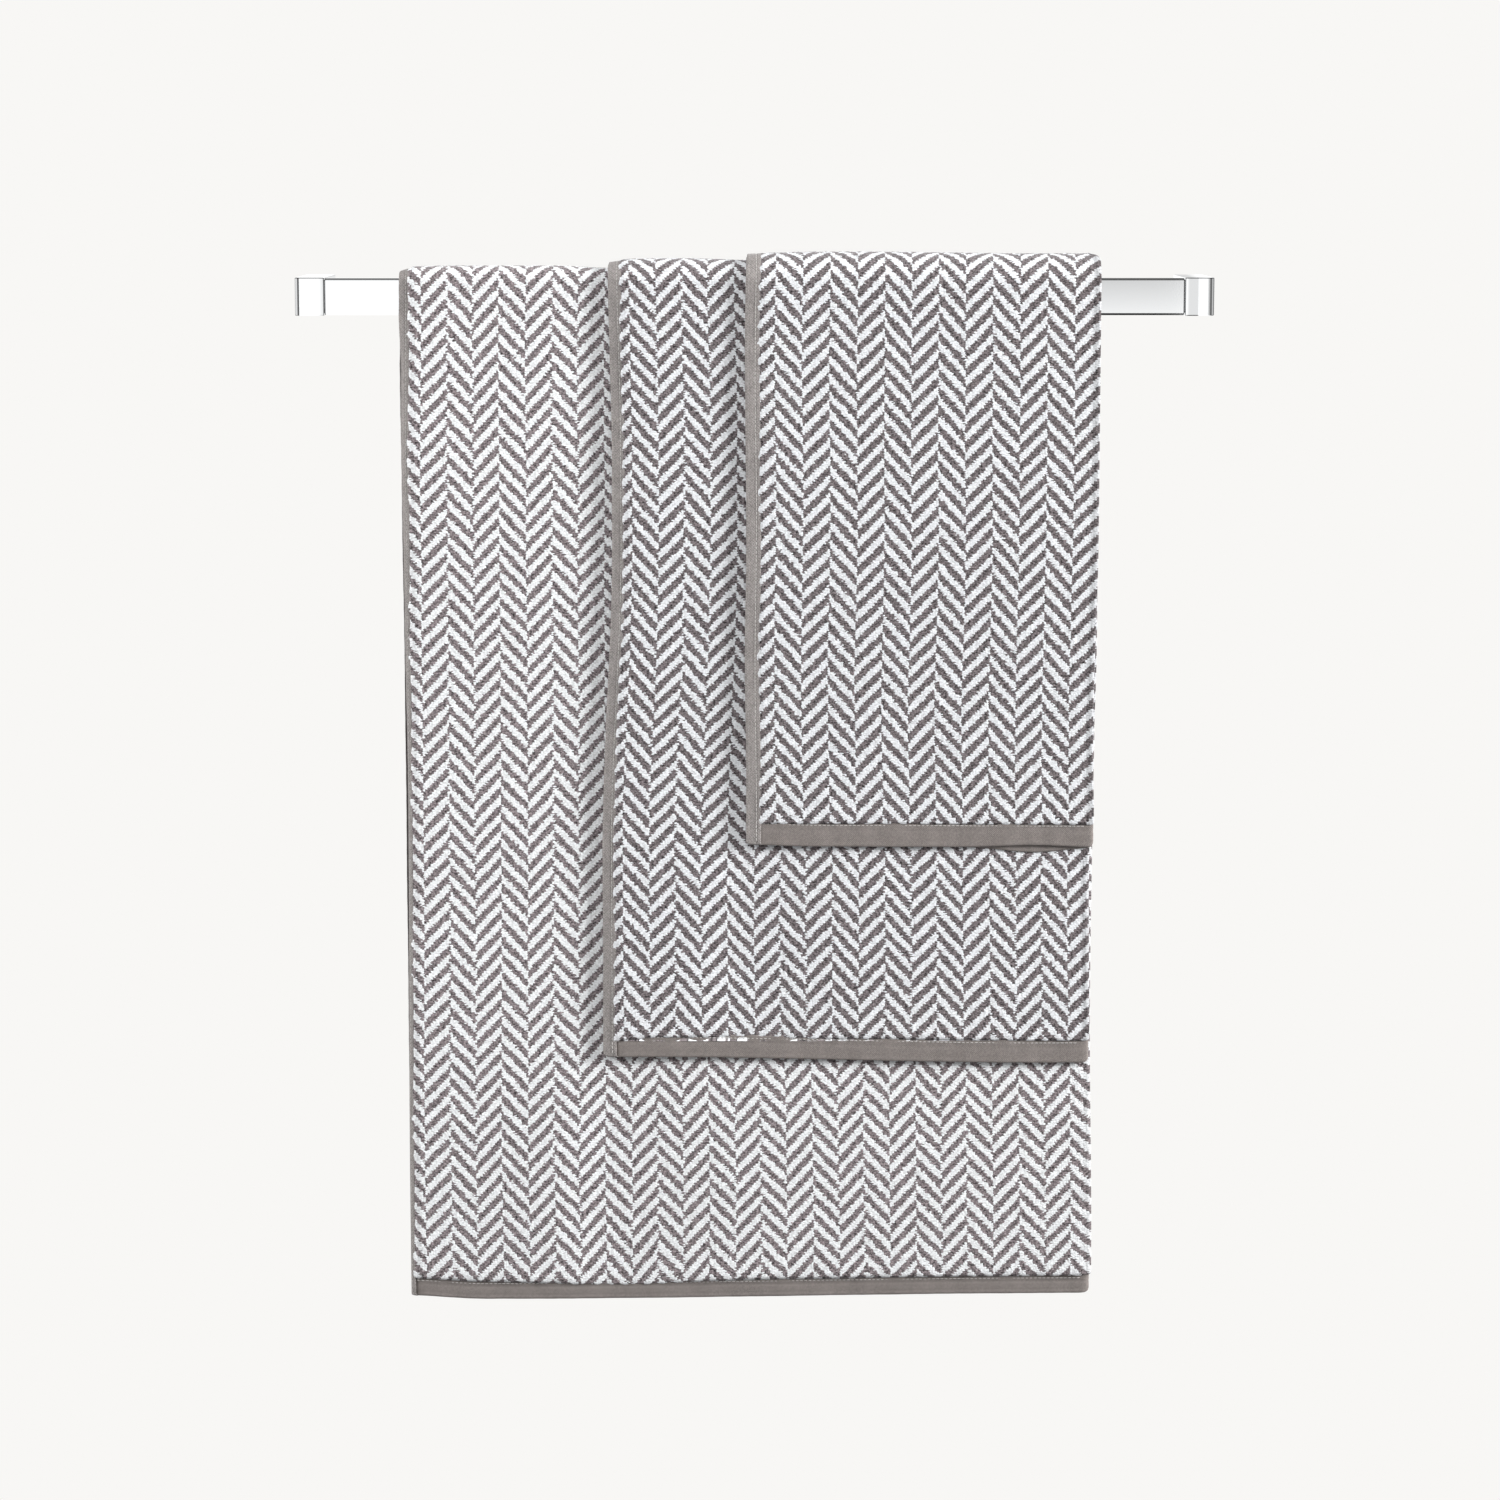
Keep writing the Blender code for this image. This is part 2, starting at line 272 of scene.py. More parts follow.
# %% [markdown]
# ## Shader effects that several finishes share
# Terry is a field of cotton loops, and a jacquard loom pulls up either a white or a grey loop at each
# place. So the chevrons have no clean outline: each loop is wholly one colour. A cell texture stands
# for the loops, and the chevrons are read at each cell's own centre, which gives the same ragged edge.
# A finer noise stands for the fluff on each loop.

# %% Start a node group
def new_group(name, inputs, outputs):
    """A shader node group with named sockets, and its input and output nodes."""
    group = bpy.data.node_groups.new(name, "ShaderNodeTree")
    for socket, (kind, value) in inputs.items():
        made = group.interface.new_socket(socket, in_out="INPUT", socket_type=f"NodeSocket{kind}")
        if kind == "Float":
            made.default_value = value
    for socket, kind in outputs.items():
        group.interface.new_socket(socket, in_out="OUTPUT", socket_type=f"NodeSocket{kind}")
    return group, group.nodes.new("NodeGroupInput").outputs, group.nodes.new("NodeGroupOutput")


# %% Place the loops
LOOP_SCATTER = 0.75  # how unevenly the loops stand
TUFTS = (520, 760, 1)  # bits of fluff per metre, across and along, that break up each loop's shade
TUFT_DEPTH = 2.0


def place_loops(group, take):
    """The cloth, pulled a little out of true, and its loops, each with its centre and its luck."""
    wander = noise(group, take["Cloth"], 8.0, 1.0)["Color"]
    pull = calc_vector(group, "SUBTRACT", wander, (0.5, 0.5, 0.5))
    pull = calc_vector(group, "MULTIPLY", pull, take["Drift"])
    cloth = calc_vector(group, "ADD", take["Cloth"], pull)
    size = {0: take["Loop Width"], 1: take["Loop Height"], 2: 1.0}
    size = add_node(group, "ShaderNodeCombineXYZ", size).outputs[0]
    in_loops = {"Vector": calc_vector(group, "DIVIDE", cloth, size), "Scale": 1.0, "Randomness": LOOP_SCATTER}
    loops = add_node(group, "ShaderNodeTexVoronoi", in_loops, voronoi_dimensions="2D").outputs
    centre = axes(group, calc_vector(group, "MULTIPLY", loops["Position"], size))
    luck = add_node(group, "ShaderNodeSeparateColor", {0: loops["Color"]}).outputs
    return cloth, loops, centre, luck


def shape_loops(group, cloth, loops, luck):
    """The loops' height, and a shade that is light on their crowns and dark between them."""
    spread = calc(group, "DIVIDE", loops["Distance"], 0.72)
    dome = calc(group, "SUBTRACT", 1.0, calc(group, "MULTIPLY", spread, spread))
    dome = calc(group, "MAXIMUM", dome, 0.0)
    tall = calc(group, "MULTIPLY", dome, calc(group, "MULTIPLY_ADD", luck[1], 0.6, 0.4))
    shade = calc(group, "MULTIPLY_ADD", dome, 0.55, 0.38)
    shade = calc(group, "MULTIPLY_ADD", calc(group, "SUBTRACT", luck[2], 0.5), 0.42, shade)
    fluff = noise(group, calc_vector(group, "MULTIPLY", cloth, TUFTS), 1.0, 1.0, noise_dimensions="2D")["Fac"]
    shade = calc(group, "MULTIPLY_ADD", calc(group, "SUBTRACT", fluff, 0.5), TUFT_DEPTH, shade)
    return tall, calc(group, "MAXIMUM", shade, 0.12)


# %% Pick the grey loops
LEAN = 1.05  # a stripe climbs this much for each unit that it runs across
RAGGED = 0.12  # how far a loop may miss its stripe, in stripe pitches


def grey_loops(group, take, centre, luck):
    """1 where the loop belongs to a grey stripe of the chevrons."""
    along = calc(group, "SUBTRACT", centre["X"], take["First Seam"])
    along = calc(group, "MULTIPLY_ADD", take["First Side"], take["Column"], along)
    slant = calc(group, "PINGPONG", along, take["Column"])
    column = calc(group, "FLOOR", calc(group, "DIVIDE", along, take["Column"]))
    odd = calc(group, "FLOORED_MODULO", column, 2.0)
    climb = calc(group, "SUBTRACT", centre["Y"], calc(group, "MULTIPLY", slant, LEAN))
    climb = calc(group, "MULTIPLY_ADD", centre["X"], take["Skew"], climb)
    phase = calc(group, "ADD", calc(group, "DIVIDE", climb, take["Pitch"]), take["Shift"])
    phase = calc(group, "MULTIPLY_ADD", odd, 0.5, phase)
    phase = calc(group, "MULTIPLY_ADD", calc(group, "SUBTRACT", luck[0], 0.5), RAGGED, phase)
    return calc(group, "LESS_THAN", calc(group, "FRACT", phase), take["Grey Share"])


# %% Weave the herringbone terry
def build_herringbone():
    """Loops in two colours: a mask for the grey ones, their height and their shade."""
    group, take, give = new_group(
        "herringbone_terry",
        {
            "Cloth": ("Vector", None), "Column": ("Float", 0.019), "Pitch": ("Float", 0.0131),
            "Skew": ("Float", 0.0), "First Seam": ("Float", 0.016), "First Side": ("Float", 0.0),
            "Shift": ("Float", 0.0), "Grey Share": ("Float", 0.45), "Loop Width": ("Float", 0.0016),
            "Loop Height": ("Float", 0.0008), "Drift": ("Float", 0.003),
        },
        {"Grey": "Float", "Height": "Float", "Shade": "Float"},
    )
    cloth, loops, centre, luck = place_loops(group, take)
    tall, shade = shape_loops(group, cloth, loops, luck)
    group.links.new(grey_loops(group, take, centre, luck), give.inputs["Grey"])
    group.links.new(tall, give.inputs["Height"])
    group.links.new(shade, give.inputs["Shade"])
    return group


herringbone = build_herringbone()
print("group", herringbone.name, "with", len(herringbone.nodes), "nodes")

# %% [markdown]
# The hems are woven flat, without loops. Warp and weft cross over and under each other, so the
# surface is a fine chequer of small humps with a little difference from thread to thread.

# %% Weave the flat cloth
WORN_SPOT = (0.0007, 0.0007, 0.0007)  # spots of this size differ a little in shade


def build_plain_weave():
    """Threads that cross over and under: their height and their shade."""
    group, take, give = new_group(
        "plain_weave",
        {"Cloth": ("Vector", None), "Thread": ("Float", 0.0007), "Wear": ("Float", 0.1)},
        {"Height": "Float", "Shade": "Float"},
    )
    where = axes(group, take["Cloth"])
    turns = calc(group, "DIVIDE", math.pi, take["Thread"])
    warp = calc(group, "SINE", calc(group, "MULTIPLY", where["X"], turns))
    weft = calc(group, "SINE", calc(group, "MULTIPLY", where["Y"], turns))
    hump = calc(group, "MULTIPLY_ADD", calc(group, "MULTIPLY", warp, weft), 0.5, 0.5)
    spot = calc_vector(group, "SNAP", take["Cloth"], WORN_SPOT)
    luck = add_node(group, "ShaderNodeTexWhiteNoise", {"Vector": spot}, noise_dimensions="2D").outputs
    cloud = noise(group, take["Cloth"], 60.0, 3.0)
    shade = calc(group, "MULTIPLY_ADD", hump, 0.30, 0.76)
    for uneven in (luck["Value"], cloud["Fac"]):
        shade = calc(group, "MULTIPLY_ADD", calc(group, "SUBTRACT", uneven, 0.5), take["Wear"], shade)
    group.links.new(hump, give.inputs["Height"])
    group.links.new(shade, give.inputs["Shade"])
    return group


plain_weave = build_plain_weave()
print("group", plain_weave.name, "with", len(plain_weave.nodes), "nodes")

# %% [markdown]
# Metal is never quite even. Wiping leaves faint streaks on plate, and a casting is grainy. One group
# gives both: soft clouds and fine grain, which each metal uses at its own strength.

# %% Smear and grain for metal
def build_handled_metal():
    """Faint smears and grain: a roughness and a height."""
    group, take, give = new_group(
        "handled_metal",
        {
            "Place": ("Vector", None), "Polish": ("Float", 0.05), "Smear": ("Float", 0.03),
            "Grain": ("Float", 900.0),
        },
        {"Roughness": "Float", "Height": "Float"},
    )
    cloud = noise(group, take["Place"], 35.0, 4.0)["Fac"]
    rough = calc(group, "MULTIPLY_ADD", cloud, take["Smear"], take["Polish"])
    group.links.new(rough, give.inputs["Roughness"])
    group.links.new(noise(group, take["Place"], take["Grain"], 2.0)["Fac"], give.inputs["Height"])
    return group


handled_metal = build_handled_metal()
print("group", handled_metal.name, "with", len(handled_metal.nodes), "nodes")

# %% [markdown]
# ## Finishes
# A finish places a group, turns its masks into colour, and feeds one Principled shader.

# %% Start a finish
def new_finish(name, **constants):
    """A material with one Principled shader, whose constant sockets are set here."""
    material = bpy.data.materials.new(name)
    material.use_nodes = True
    shader = material.node_tree.nodes["Principled BSDF"]
    for socket, value in constants.items():
        shader.inputs[socket.replace("_", " ")].default_value = value
    return material, material.node_tree, shader


def use_group(tree, group, **inputs):
    """The outputs of the group, placed as a node with its sockets set or linked."""
    spaced = {key.replace("_", " "): value for key, value in inputs.items()}
    return add_node(tree, "ShaderNodeGroup", spaced, node_tree=group).outputs


def cloth_place(tree):
    """Where a point lies on the flat cloth."""
    return add_node(tree, "ShaderNodeUVMap", uv_map="cloth").outputs["UV"]


def tint(tree, shade, colour):
    """A colour darkened by a shade."""
    return mixed(tree, 1.0, (*colour, 1), shade, "MULTIPLY")


def bump(tree, shader, height, strength, distance):
    """Let a height bend the shader's normal."""
    made = add_node(tree, "ShaderNodeBump", {"Height": height, "Strength": strength, "Distance": distance})
    tree.links.new(made.outputs["Normal"], shader.inputs["Normal"])


# %% [markdown]
# Light sinks into white loops and comes out again, so the gaps between them stay pale. Between grey
# loops it is swallowed. So the same shade darkens the white only a little and the grey a lot.
# Round a fold both colours are darkened by a painted shade, which keeps the rim that faces the right-hand
# light from looking brighter than the front; partly it is also the darker roots that show where the loops
# part.

# %% Finish the terry
Pattern = namedtuple("Pattern", "column pitch skew seam side shift share white grey")
PATTERNS = {
    "bath_sheet": Pattern(0.01877, 0.01293, -0.009, 0.0157, 0.0, 0.65, 0.50,
                          (0.87, 0.885, 0.90), (0.290, 0.248, 0.256)),
    "bath_towel": Pattern(0.01885, 0.0129, 0.036, 0.0141, 1.0, 0.40, 0.53,
                          (0.81, 0.825, 0.85), (0.220, 0.190, 0.196)),
    "hand_towel": Pattern(0.01923, 0.0131, 0.0375, 0.0203, 1.0, 0.90, 0.52,
                          (0.80, 0.815, 0.84), (0.216, 0.187, 0.192)),
}
FOLD_SHADE_REACH = 0.012  # a painted shade darkens the loops within this distance of a fold, where they stand parted
FOLD_SLACK = 0.001  # from edge to fold, the cloth measures this much less than the folded towel


def terry_finish(towel, pattern):
    """Two colours of loops, with a painted shade round the fold."""
    material, tree, shader = new_finish(f"{towel.name}_terry", Roughness=0.95, Sheen_Weight=0.2,
                                        Sheen_Roughness=0.5, Specular_IOR_Level=0.12)
    cloth = cloth_place(tree)
    loops = use_group(tree, herringbone, Cloth=cloth, Column=pattern.column, Pitch=pattern.pitch,
                      Skew=pattern.skew, First_Seam=pattern.seam, First_Side=pattern.side,
                      Shift=pattern.shift, Grey_Share=pattern.share)
    pale = calc(tree, "MULTIPLY_ADD", loops["Shade"], 0.30, 0.74)
    white = tint(tree, pale, pattern.white)
    grey = tint(tree, loops["Shade"], pattern.grey)
    fold = towel.fold - towel.left - FOLD_SLACK
    from_fold = calc(tree, "ABSOLUTE", calc(tree, "SUBTRACT", axes(tree, cloth)["X"], fold))
    # Painted shade: both colours are up to 38 % darker within about 6 mm of the fold line, partly for the
    # parted loops' darker roots.
    painted_fold_shade = ramp(tree, calc(tree, "DIVIDE", from_fold, FOLD_SHADE_REACH), [(0.2, 0.62), (0.5, 1.0)], "EASE")
    colour = mixed(tree, 1.0, mixed(tree, loops["Grey"], white, grey), painted_fold_shade, "MULTIPLY")
    tree.links.new(colour, shader.inputs["Base Color"])
    bump(tree, shader, loops["Height"], 0.6, 0.0006)
    return material


terry = {t.name: terry_finish(t, PATTERNS[t.name]) for t in towels}
print("terry finishes:", sorted(m.name for m in terry.values()))

# %% Finish the hems, thread and label
def woven_finish(name, colour, thread, wear, height, roughness):
    """Flat cloth of one colour, from threads of a given width and height."""
    material, tree, shader = new_finish(name, Roughness=roughness, Sheen_Weight=0.15, Sheen_Roughness=0.4,
                                        Specular_IOR_Level=0.2)
    weave = use_group(tree, plain_weave, Cloth=cloth_place(tree), Thread=thread, Wear=wear)
    tree.links.new(tint(tree, weave["Shade"], colour), shader.inputs["Base Color"])
    bump(tree, shader, weave["Height"], 0.5, height)
    return material


# The side hems' grey is lighter than the end hems': partly their coarser selvedge weave, partly a painted
# lighter tone for the light that falls on them.
hem_cloth = woven_finish("grey_hem_cloth", (0.245, 0.219, 0.206), 0.0007, 0.30, 0.0003, 0.85)
selvedge_cloth_painted_lighter = woven_finish("grey_selvedge_cloth", (0.330, 0.306, 0.296), 0.0010, 0.42, 0.0004, 0.85)
thread_cotton = woven_finish("sewing_thread", (0.62, 0.60, 0.58), 0.0004, 0.10, 0.0001, 0.7)
label_tape = woven_finish("label_satin", (0.80, 0.80, 0.78), 0.0003, 0.05, 0.00005, 0.45)
print("woven finishes:", [m.name for m in (hem_cloth, selvedge_cloth_painted_lighter, thread_cotton, label_tape)])

# %% Finish the metals and the floor
def metal_finish(name, colour, polish, smear, grain, depth, crown=None):
    """A metal with its smears and grain, and a crowned face if it is a polished bar."""
    material, tree, shader = new_finish(name, Base_Color=(*colour, 1), Metallic=1.0)
    place = add_node(tree, "ShaderNodeTexCoord").outputs["Object"]
    handled = use_group(tree, handled_metal, Place=place, Polish=polish, Smear=smear, Grain=grain)
    tree.links.new(handled["Roughness"], shader.inputs["Roughness"])
    height = calc(tree, "MULTIPLY", handled["Height"], depth)
    if crown:
        height = calc(tree, "ADD", height, crown_height(tree, place, *crown))
    bump(tree, shader, height, 1.0, 1.0)
    return material


def crown_height(tree, place, axis, middle, half, slope):
    """A polished flat is a little crowned: its height falls off to both sides of its middle."""
    off = calc(tree, "SUBTRACT", axes(tree, place)[axis], middle)
    return calc(tree, "MULTIPLY", calc(tree, "MULTIPLY", off, off), -slope / (2 * half))


post_low, post_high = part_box("post_right")
post_middle = (post_low.x + post_high.x) / 2
post_half = (post_high.x - post_low.x) / 2
CHROME = ("chrome_plate", (0.93, 0.94, 0.945), 0.03, 0.02, 900.0, 0.000002)
chrome_bar = metal_finish(*CHROME, crown=("Z", 0.0, bar_high.z, 0.05))
chrome_left = metal_finish(*CHROME, crown=("X", -post_middle, post_half, 0.04))
crown_off = 0.1 * post_half  # the right post's crown lies a little nearer the bar
chrome_right = metal_finish(*CHROME, crown=("X", post_middle - crown_off, post_half, 0.10))
zinc = metal_finish("cast_zinc", (0.50, 0.51, 0.52), 0.38, 0.15, 1500.0, 0.00006)
screw_steel = metal_finish("screw_steel", (0.32, 0.33, 0.35), 0.30, 0.10, 1800.0, 0.00002)

floor_paint, floor_tree, floor_shader = new_finish("pale_floor", Roughness=0.8)
speckle = add_node(floor_tree, "ShaderNodeTexNoise", {"Scale": 40.0, "Detail": 3.0})
floor_colour = ramp(floor_tree, speckle.outputs["Fac"], [(0.3, 0.60), (0.7, 0.64)])
floor_tree.links.new(floor_colour, floor_shader.inputs["Base Color"])
floor.data.materials.append(floor_paint)

# %% [markdown]
# ## The rail
# The bar, posts, wall plates and screws have their true shapes in the solid model already, so they
# only need their finishes.

# %% Plate the rail
RAIL_FINISHES = {"towel_bar": chrome_bar, "post_left": chrome_left, "post_right": chrome_right,
                 "bar_spigot": zinc, "wall_plate": zinc, "grub_screw": screw_steel}


def finish_node(node, material):
    """Give a piece of the solid model one finish all over."""
    node.data.materials.clear()
    node.data.materials.append(material)


for piece, material in RAIL_FINISHES.items():
    for node_name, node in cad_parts.items():
        if node_name.startswith(piece):
            finish_node(node, material)
            print(node_name, "is finished in", material.name)

# %% [markdown]
# ## How a towel hangs
# Cloth is thin and hardly stretches, so every point of a hung towel follows from three numbers: how far
# along the bar it is, how far along the towel's length, and how far out from the bar. The path goes up
# the front, over the bar's two rounded edges, and down behind. A cloth simulation could find such a
# path too, but computing it keeps the cut size exact and the layers apart.

# %% The path over the bar
def path_table(towel):
    """Lengths along the path with, at each, the turning centre (y, z) and the way out from it."""
    reach = BAR_ROUNDING + towel.top
    quarter = math.pi / 2 * reach
    front_y, back_y = bar_low.y + BAR_ROUNDING, bar_high.y - BAR_ROUNDING
    steps = [0.0, spring_z - towel.front, quarter, back_y - front_y, quarter, spring_z - towel.back]
    lengths = np.cumsum(steps)
    ys = [front_y, front_y, front_y, back_y, back_y, back_y]
    zs = [towel.front, spring_z, spring_z, spring_z, spring_z, towel.back]
    ways = [math.pi, math.pi, math.pi / 2, math.pi / 2, 0.0, 0.0]
    return lengths, ys, zs, ways


for t in towels:
    t.path = path_table(t)
    run = t.path[0][-1]
    print(f"{t.name}: path of {run * 1000:.0f} mm for a cut length of {t.length * 1000:.0f} mm")


# %% [markdown]
# A hung towel is never ruled straight. Its edges wander by a few millimetres, its front hem dips a
# little, its corners are held up by their thick seams, and the whole stack bellies gently. The
# bellies change only with height, because then the towels can still slide along the bar past each other.

# %% Wander, dip and belly
def ease(value, start, end):
    """0 before start, 1 after end, and a smooth step between."""
    t = np.clip((value - start) / (end - start), 0, 1)
    return t * t * (3 - 2 * t)


def bell(value, middle, width):
    return np.exp(-((value - middle) / width) ** 2)


def left_wander(towel, z):
    """How far the left edge lies to the right of a straight one, at a height."""
    if towel is sheet:
        near_bar = 0.0002 + 0.0015 * bell(z, 0.02, 0.07)
        return near_bar - 0.0005 * ease(-z, 0.1, 0.3) - 0.0015 * ease(-z, 0.36, 0.65)
    if towel is bath:
        return 0.0032 - 0.0080 * ease(-z, 0.17, 0.40) - 0.0024 * bell(z, 0.02, 0.07)
    return -0.0014 + 0.0005 * np.sin(z * 30)


def right_wander(towel, z):
    """The same for the fold at the right."""
    if towel is sheet:
        return -0.0016 * bell(z, -0.50, 0.16) + 0.0018 * ease(-z, 0.50, 0.70)
    if towel is bath:
        return -0.0038 * ease(-z, 0.25, 0.40) + 0.0015 * ease(-z, 0.42, 0.54)
    return -0.0022 * ease(-z, 0.17, 0.30) + 0.0014 * ease(-z, 0.31, 0.39)


def hem_dip(towel, x):
    """How much lower than level the front hem's edge lies."""
    t = (x - towel.left) / (towel.fold - towel.left)
    if towel is sheet:
        return 0.0028 * ease(t, 0.0, 0.12) - 0.0045 * ease(t, 0.12, 1.0)
    if towel is bath:
        return 0.0002 + 0.0042 * ease(t, 0.1, 0.9)
    return 0.0012 * ease(t, 0.0, 0.2) + 0.0010 * t


def corner_lift(x_from_side, along, radius):
    """How far a rounded lower corner draws in, at a height above the hem."""
    low = np.clip(1 - along / radius, 0, 1)
    return radius * (1 - np.sqrt(1 - low * low)) * np.clip(1 - x_from_side / 0.02, 0, 1)


def belly(z, behind):
    """How far the whole stack stands out at a height."""
    drop = np.clip(spring_z - z, 0, None)
    front = 0.0011 * np.sin(drop * 13.0) * ease(drop, 0.0, 0.25) + 0.0010 * ease(drop, 0.35, 0.75)
    back = 0.0010 * np.sin(drop * 10.0 + 0.6) * ease(drop, 0.0, 0.25)
    return np.where(behind, back, front)


# %% [markdown]
# The sheet's free edge has curled back towards the wall: hardly at all where it rides on the bar, and
# right round at the bottom. Bending the cloth's edge along an arc keeps its width, and narrows what
# shows of the hem. Where a fold goes over the bar, its corner is drawn in and rounded.

# %% Curl the edge and round the fold
CURL_REACH = 0.009
FOLD_CORNER = 0.005


def curl(towel, x, out, z, behind):
    """The points of the sheet's free edge, bent back along an arc."""
    if towel is not sheet:
        return x, out
    front = 20 + 45 * ease(-z, 0.012, 0.05) + 25 * ease(-z, 0.08, 0.26) + 18 * ease(-z, 0.25, 0.34)
    angle = np.radians(np.where(behind, 20 + 35 * ease(-z, 0.02, 0.3), front))
    radius = CURL_REACH / angle
    turned = np.clip((towel.left + CURL_REACH - x) / CURL_REACH, 0, 1.25) * angle
    bent = turned > 0
    x = np.where(bent, towel.left + CURL_REACH - radius * np.sin(turned), x)
    return x, out - np.where(bent, radius * (1 - np.cos(turned)), 0.0)


def settle(towel, x):
    """How much lower the cloth lies on the bar near its sides."""
    if towel is hand:
        return 0.0012 * ease(x, 0.08, 0.2) + 0.0012 * bell(x, towel.left, 0.03)
    return 0.0010 * bell(x, towel.left, 0.02)


def drawn_in(towel, x, out, way):
    """How far the fold is drawn in near the top of its way over the bar."""
    rise = (BAR_ROUNDING + out) * np.sin(way)
    near_top = np.clip((rise - (BAR_ROUNDING + towel.top - FOLD_CORNER)) / FOLD_CORNER, 0, 1)
    return FOLD_CORNER * (1 - np.sqrt(1 - near_top ** 2)) * ease(x, towel.fold - 0.014, towel.fold)


# %% Put a point of cloth in its place
def hang(towel, x, out, along, dip=0.0):
    """World places of cloth points at x, out from the bar, and along the path from the front hem up."""
    x, out, along = np.broadcast_arrays(*(np.asarray(v, float) for v in (x, out, along)))
    lengths, ys, zs, ways = towel.path
    centre_y, centre_z = np.interp(along, lengths, ys), np.interp(along, lengths, zs)
    way = np.interp(along, lengths, ways)
    behind = along > (lengths[2] + lengths[3]) / 2
    nominal_drop = spring_z - towel.front
    stretch = 1 + (hem_dip(towel, x) + dip) / nominal_drop
    centre_z = np.where(behind, centre_z, spring_z + (centre_z - spring_z) * stretch)
    share = (x - towel.left) / (towel.fold - towel.left)
    x = x - drawn_in(towel, x, out, way)
    x, out = curl(towel, x, out, centre_z, behind)
    out = out + belly(centre_z, behind) - settle(towel, x) * np.clip(np.sin(way), 0, 1)
    z = centre_z + (BAR_ROUNDING + out) * np.sin(way)
    y = centre_y + (BAR_ROUNDING + out) * np.cos(way)
    settled = np.where(behind, np.maximum(z, -0.05), z)
    wander = left_wander(towel, settled) * (1 - share) + right_wander(towel, settled) * share
    return np.stack([x + wander, y, z], axis=-1)


print("the sheet's front corner hangs at", np.round(hang(sheet, sheet.left, sheet.top, 0.0), 4))

# %% [markdown]
# ## The folded terry
# Folded cloth is one sheet bent round on itself. Its middle line runs from the left edge of the outer
# layer to the fold and back under. The face and the reverse stand half a thickness to each side of
# that line, and both thin out towards the edges, where the loops roll over. The face gets fine
# squares, because it shows; the reverse lies between the layers and needs few.

# %% The cloth's middle line
FOLD_REACH = 0.0022  # a fold in thick terry is a little longer than it is deep


def middle_line(towel, start, count_far, count_near):
    """Points (x, out) down the middle of the doubled cloth, and the length from its left edge."""
    upper = towel.top - towel.layer / 2
    lower = towel.base + towel.layer / 2
    deep = (upper - lower) / 2
    long = deep + FOLD_REACH
    turn_x = towel.fold - towel.layer / 2 - long
    turn = np.linspace(math.pi / 2, -math.pi / 2, 15)
    xs = np.concatenate([np.linspace(start, turn_x, count_far)[:-1], turn_x + long * np.cos(turn),
                         np.linspace(turn_x, start, count_near)[1:]])
    outs = np.concatenate([np.full(count_far - 1, upper), lower + deep + deep * np.sin(turn),
                           np.full(count_near - 1, lower)])
    lengths = np.concatenate([[0], np.cumsum(np.hypot(np.diff(xs), np.diff(outs)))])
    return xs, outs, lengths + start - towel.left


def roll_over(distance, reach):
    """1 well inside the cloth, falling in a quarter round to a thin edge."""
    t = np.clip(1 - distance / reach, 0, 1)
    return np.maximum(np.sqrt(1 - t * t), 0.22)


def beside(xs, outs, side, half):
    """The line moved by half a thickness to one side: the face (+1) or the reverse (-1)."""
    dx, do = np.gradient(xs), np.gradient(outs)
    size = np.hypot(dx, do)
    return xs - side * half * do / size, outs + side * half * dx / size


# %% Make a piece of cloth from points
def inside_out(mesh):
    """Whether a closed mesh's faces point inwards, from the sign of its volume."""
    shape = bmesh.new()
    shape.from_mesh(mesh)
    volume = shape.calc_volume(signed=True)
    shape.free()
    return volume < 0


def cloth_piece(name, points, faces, cloth_uv, material):
    """A smooth piece. cloth_uv holds each point's (u, v) on the flat cloth."""
    mesh = bpy.data.meshes.new(name)
    mesh.from_pydata(points.tolist(), [], faces)
    uv = mesh.uv_layers.new(name="cloth")
    corner_points = np.zeros(len(mesh.loops), np.int32)
    mesh.loops.foreach_get("vertex_index", corner_points)
    uv.data.foreach_set("uv", cloth_uv[corner_points].astype(np.float32).ravel())
    mesh.materials.append(material)
    piece = bpy.data.objects.new(name, mesh)
    bpy.context.scene.collection.objects.link(piece)
    if inside_out(mesh):
        mesh.flip_normals()
    mesh.shade_smooth()
    print(f"{name}: {sum(len(p.vertices) - 2 for p in mesh.polygons)} triangles")
    return piece


def skin(name, places, cloth_uv, material):
    """A closed skin through rings of points, with a cap at each end."""
    rings, around = places.shape[:2]
    corner = np.arange(rings * around).reshape(rings, around)
    after = np.roll(corner, -1, axis=1)
    quads = np.stack([corner[:-1], after[:-1], after[1:], corner[1:]], axis=-1).reshape(-1, 4)
    faces = quads.tolist() + [corner[0][::-1].tolist(), corner[-1].tolist()]
    return cloth_piece(name, places.reshape(-1, 3), faces, cloth_uv.reshape(-1, 2), material)


# %% Drape the terry of a towel
FACE_GRID = {"bath_sheet": 0.00345, "bath_towel": 0.0027, "hand_towel": 0.0020}
SHOWS_HEM = {"bath_sheet": 0.0062, "bath_towel": 0.0074, "hand_towel": 0.0085}
EDGE_ROLL = 0.0035  # how far in from a side edge the loops roll over
END_ROLL = 0.0022  # the same at the pile's two ends
DENT_REACH = 0.032  # beside a towel that lies on top, the pile under it is pressed down
DENTS = {"bath_sheet": (bath, 0.0017), "bath_towel": (hand, 0.0013)}
DENT_OVERLAP = 0.002  # the pile is lowest this far outside the upper towel's edge
PILE_UNEVEN = 0.00016
BULGE = 0.0006  # white stripes bulge over the hem beside them, grey ones fall short
BULGE_REACH = 0.008
STRIPE_DROOP = 0.0005  # white stripes also hang lower over the front hem
DROOP_REACH = 0.045


